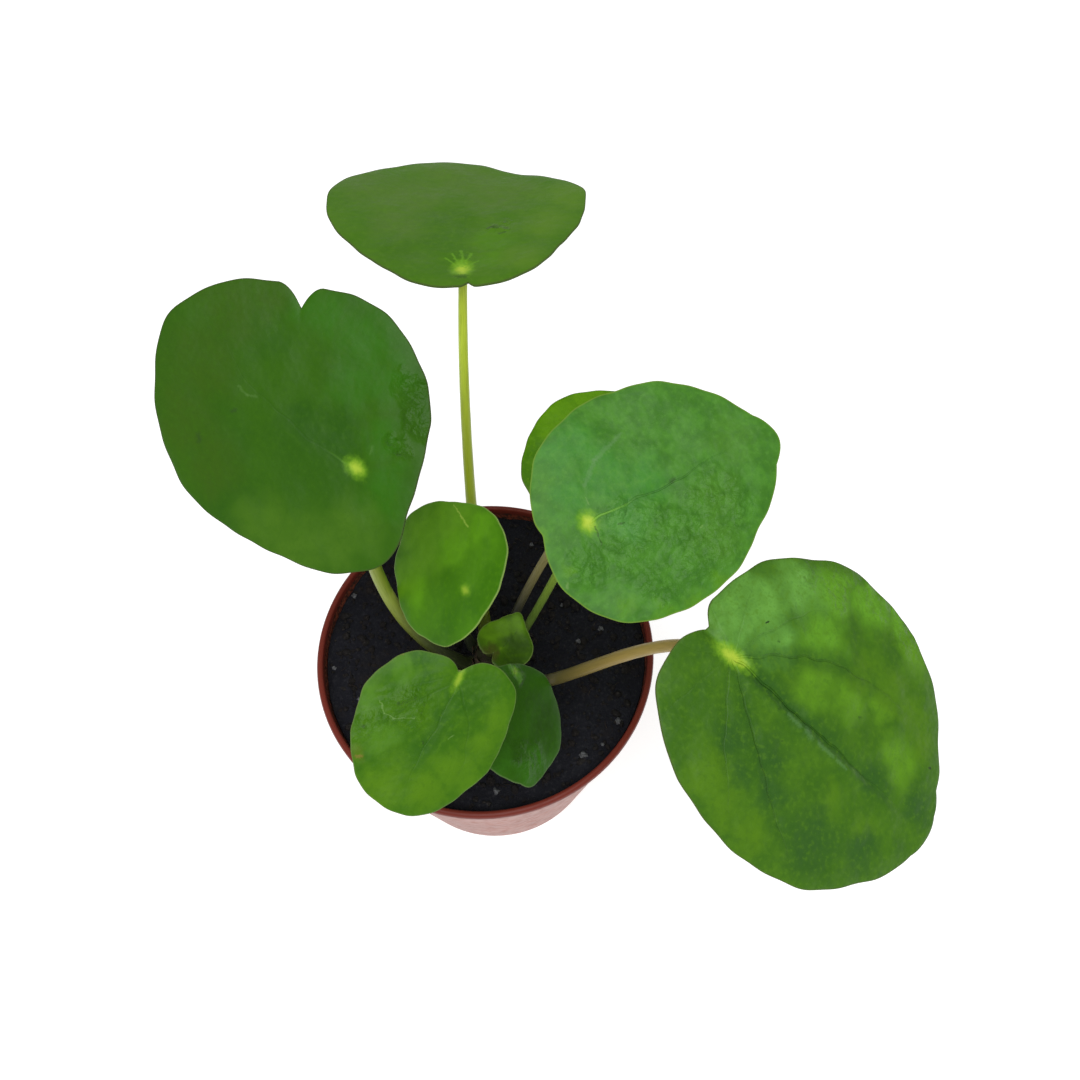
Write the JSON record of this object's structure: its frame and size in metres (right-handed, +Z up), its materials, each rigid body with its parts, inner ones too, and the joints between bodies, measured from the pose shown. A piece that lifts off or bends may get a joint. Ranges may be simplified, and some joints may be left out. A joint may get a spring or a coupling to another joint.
{
  "type": "potted money plant",
  "caption": "Small houseplant with round fleshy leaves on long upright stalks, growing from a short stem in a soil-filled tapered nursery pot.",
  "frame": {"origin": "on the pot's axis, in the plane that the pot stands on", "axes": "+Z up along the pot's axis, -Y towards the side that the picture looks from, +X to that viewer's right"},
  "size_m": [0.1635, 0.15, 0.1725],
  "materials": {
    "pot": "smooth glossy terracotta-brown moulded plastic",
    "soil": "crumbly black peat with sparse pale grit",
    "stem": "matt corky brown",
    "petiole": "smooth satin yellow-green stalk",
    "blade": "smooth satin green leaf with pale veins"
  },
  "bodies": {
    "root": {"pot": "pot", "soil": "soil", "stem": "stem", "petiole_top": "petiole", "blade_top": "blade", "petiole_left": "petiole", "blade_left": "blade", "petiole_inner": "petiole", "blade_inner": "blade", "petiole_front": "petiole", "blade_front": "blade", "petiole_shaded": "petiole", "blade_shaded": "blade", "petiole_young": "petiole", "blade_young": "blade", "petiole_hidden": "petiole", "blade_hidden": "blade", "petiole_upper_right": "petiole", "blade_upper_right": "blade", "petiole_lower_right": "petiole", "blade_lower_right": "blade"}
  },
  "joints": []
}
